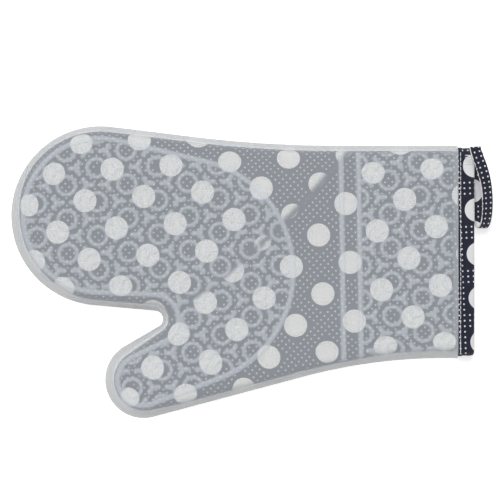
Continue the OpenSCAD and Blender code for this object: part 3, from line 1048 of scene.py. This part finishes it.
def mouth_loop(points):
    """The vertices on the mouth, in order round it, by their angle once its width is made like its depth."""
    found = np.flatnonzero(np.abs(points[:, 0] - x_mouth) < 1e-4)
    across = (points[found, 1] - (y_cuff_top + y_cuff_low) / 2) / MOUTH_FLATNESS
    angle = np.arctan2(points[found, 2] - z_mid, across)
    order = np.argsort(angle)
    return found[order].tolist(), angle[order].tolist()


def lip(outer, inner):
    """Triangles that join two loops of vertices, given in order with their angles."""
    (a, angle_a), (b, angle_b) = outer, inner
    i = j = 0
    faces = []
    while i < len(a) or j < len(b):
        next_a = angle_a[i] if i < len(a) else math.inf
        next_b = angle_b[j] if j < len(b) else math.inf
        here_a, here_b = a[i - 1], b[j - 1]
        if next_a <= next_b:
            faces.append([a[i], here_a, here_b])
            i += 1
        else:
            faces.append([here_a, here_b, b[j]])
            j += 1
    return faces


def no_ease(points):
    return np.zeros(len(points))


glove = Form(no_ease, MOULD_PITCH, x_mouth, turns=8, z_low=z_mid, drops=3)
level = glove.at(0)
height = relief(level[:, :2])
ways = MOULD_PITCH / 2 * np.array(((1, 0), (-1, 0), (0, 1), (0, -1)))
around = [relief(level[:, :2] + way) for way in ways]
milk = (height + sum(around)) / 5
edge = sum(np.abs(near - height) for near in around) / (2 * RIB_HEIGHT)
rounded = glove.turn[:, 0] > 0.9
height[rounded] = milk[rounded] = edge[rounded] = 0
height[glove.lowest] = PARTING_LINE
face_out = glove.at(-height)
outer_points, outer_faces = whole_form(glove, swollen(face_out), turned_over(face_out))

depth = belt_depth(mitt_outline, level[:, :2])[0]
wall_veil = 1 - np.exp(-MILKINESS * (SILICONE_WALL + RELIEF_MILK * milk)) + EDGE_MILK * np.minimum(edge, 1)
lining_edge = SILICONE_WALL + lining_ease(level[:, :2])
rim = smooth(lining_edge + RIM_OVER_LINING, lining_edge - RIM_PAST_LINING, depth)
mouth_rim = MOUTH_VEIL * smooth(*MOUTH_BAND, x_mouth - level[:, 0])
stands_off = RIM_VEIL + RIM_VEIL_PER_MM * (lining_ease(level[:, :2]) - EASE)
upright = smooth(0.75, 1.0, glove.turn[:, 0])
half_veil = np.clip(wall_veil + mouth_rim, 0, 1) * (1 - rim) + stands_off * rim
half_veil = half_veil * (1 - upright) + SIDE_VEIL * upright
kept = np.setdiff1d(np.arange(len(level)), glove.lowest)
outer_veil = np.concatenate([half_veil, half_veil[kept]])
# Share of the painted rim shade at each vertex of the outer face
outer_rim_shade = np.concatenate([rim, rim[kept]])

inside = Form(no_ease, 4 * MOULD_PITCH, x_mouth, turns=5, z_low=z_mid, drops=2)
inner_level = inside.at(SILICONE_WALL)
inner_points, inner_faces = whole_form(inside, swollen(inner_level), turned_over(inner_level))
inner_faces = [[v + len(outer_points) for v in reversed(face)] for face in inner_faces]
outer_loop = mouth_loop(outer_points)
found, angles = mouth_loop(inner_points)
lip_faces = lip(outer_loop, ([v + len(outer_points) for v in found], angles))
unseen = np.full(len(inner_points), HIDDEN_VEIL)
marks = {"veil": np.concatenate([outer_veil, unseen]), "rim_shade_share": np.concatenate([outer_rim_shade, unseen])}
silicone_pieces = split_pieces(
    "silicone_glove", np.concatenate([outer_points, inner_points]), outer_faces + inner_faces + lip_faces,
    milky_silicone(), [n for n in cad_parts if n.startswith("silicone_")], marks=marks)
for piece in silicone_pieces:
    piece.visible_shadow = False

# ---- Hanging loop ----
# An 8 mm ribbon folded from the printed cotton and sewn along its open edge. One end lies on the palm face
# of the binding. The other stops just outside the binding's edge, touching nothing. The ribbon leans over
# and bows out past the cuff.

RIBBON_WIDTH = 8.0
RIBBON_THICKNESS = 1.0
# The ribbon's middle line, past the cuff's edge, along it and up, from the end on the palm face over the
# turn to the lower end, and how far its width leans at the start, at the turn and at the end
LOOP_LINE = (
    (0.28, 86.4, 25.8), (0.68, 83.8, 26.6), (2.08, 79.5, 27.0), (5.08, 71.5, 26.6), (7.68, 61.5, 25.2),
    (9.08, 50.0, 22.8), (9.08, 40.5, 20.3), (8.08, 34.0, 17.8), (6.58, 31.0, 15.0), (5.18, 31.8, 12.4),
    (4.48, 36.0, 10.8), (4.28, 46.0, 10.2), (4.08, 60.0, 10.3), (3.88, 72.0, 11.0), (3.78, 82.6, 12.0),
)
LEAN_START = math.radians(80)
LEAN_TURN = math.radians(62)
LEAN_END = math.radians(58)
LOOP_STEP = 1.0
LOOP_DOT = (13.2, 29.5, 0.0)
LOOP_SIDE = 29.2
RIBBON_STITCH = 2.5


def smooth_line(points, step):
    """A smooth curve through the points, with points about one step apart along it."""
    points = np.array(points, float)
    padded = np.concatenate([[2 * points[0] - points[1]], points, [2 * points[-1] - points[-2]]])
    fine = []
    for a, b, c, d in zip(padded, padded[1:], padded[2:], padded[3:]):
        for t in np.linspace(0, 1, 16, endpoint=False):
            squared, cubed = 2 * a - 5 * b + 4 * c - d, 3 * b - a - 3 * c + d
            fine.append(0.5 * (2 * b + (c - a) * t + squared * t**2 + cubed * t**3))
    fine.append(points[-1])
    fine = np.array(fine)
    along = run_along(fine)
    at = np.linspace(0, along[-1], math.ceil(along[-1] / step) + 1)
    return np.stack([np.interp(at, along, fine[:, k]) for k in range(3)], 1), at


def ribbon_section():
    """The ribbon's rounded section: places across and through it, and the distance round it."""
    half, round_off = RIBBON_WIDTH / 2, RIBBON_THICKNESS / 2
    turns = np.linspace(-math.pi / 2, math.pi / 2, 7)[:-1]
    right = [(half - round_off + round_off * math.cos(a), -round_off * math.sin(a)) for a in turns]
    top = [(x, round_off) for x in np.linspace(-half + round_off, half - round_off, 7)[:-1]]
    half_section = np.array(top + right)
    whole = np.concatenate([half_section, -half_section])
    return whole, run_along(whole) - half + round_off


line, along = smooth_line([(x_cuff + x, y, z) for x, y, z in LOOP_LINE], LOOP_STEP)
share = along / along[-1]
lean = np.where(
    share < 0.5, LEAN_START + (LEAN_TURN - LEAN_START) * smooth(0, 0.5, share),
    LEAN_TURN + (LEAN_END - LEAN_TURN) * smooth(0.5, 0.85, share))
way = np.gradient(line, axis=0)
way /= np.linalg.norm(way, axis=1)[:, None]
width_way = np.column_stack([np.sin(lean), np.zeros(len(lean)), -np.cos(lean)])
width_way -= way * (width_way * way).sum(1)[:, None]
width_way /= np.linalg.norm(width_way, axis=1)[:, None]
through_way = np.cross(width_way, way)
section, across = ribbon_section()
points = (
    line[:, None] + section[None, :, :1] * width_way[:, None] - section[None, :, 1:] * through_way[:, None]
).reshape(-1, 3)
count = len(section)
last = (len(line) - 1) * count
faces = quads(len(line), count) + [list(range(count))[::-1], list(range(last, last + count))]
plan = np.column_stack([np.tile(across, len(line)), np.repeat(along, count)])
# Pin dots on its outer face, and the edge of a row of big dots inside
dotted_ribbon = print_on_grain("dotted_cotton_ribbon", LOOP_DOT, LOOP_SIDE, 0.0)
ribbon = new_piece("ribbon_loop", points, faces, dotted_ribbon, plan=plan)
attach(ribbon, "loop")
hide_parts("hanging_loop")

edge_path = line - (RIBBON_WIDTH / 2 - 0.1) * width_way
edge_size = THREAD_RADIUS * (0.9 + 0.25 * np.cos(along * 2 * math.pi / RIBBON_STITCH))
edge_stitch = new_piece("ribbon_edge_stitch", *tube(edge_path, edge_size), thread)
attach(edge_stitch, "loop")
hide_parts("loop_edge_stitch")

# ---- Bartack ----
# Six close bars of the same polyester thread, as a bartack machine sews them. They lie on the palm face of
# the binding, just inside the cuff's edge, near the upper end of the ribbon.

BAR_COUNT = 6
BAR_PITCH = 1.2
BAR_LENGTH = 5.6
BAR_INSET = 1.0
BAR_LEAN = 0.12
bars = []
for i in range(BAR_COUNT):
    y = y_cuff_top - EDGE_RADIUS - i * BAR_PITCH
    bar = []
    for share in np.linspace(-1, 1, 9):
        rise = THREAD_RADIUS * (0.8 - 1.9 * share**6)
        at = np.array([[
            x_cuff - BAR_INSET - BAR_LENGTH * (1 + share) / 2, y + BAR_LEAN * (-1) ** i * share,
            z_mid + half_depth - SILICONE_WALL + rise]])
        bar.append(swollen(at)[0])
    bars.append(tube(bar, THREAD_RADIUS, 6))
bartack = new_piece("bartack", *gathered(bars), thread)
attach(bartack, "hand")
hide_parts("loop_bartack")
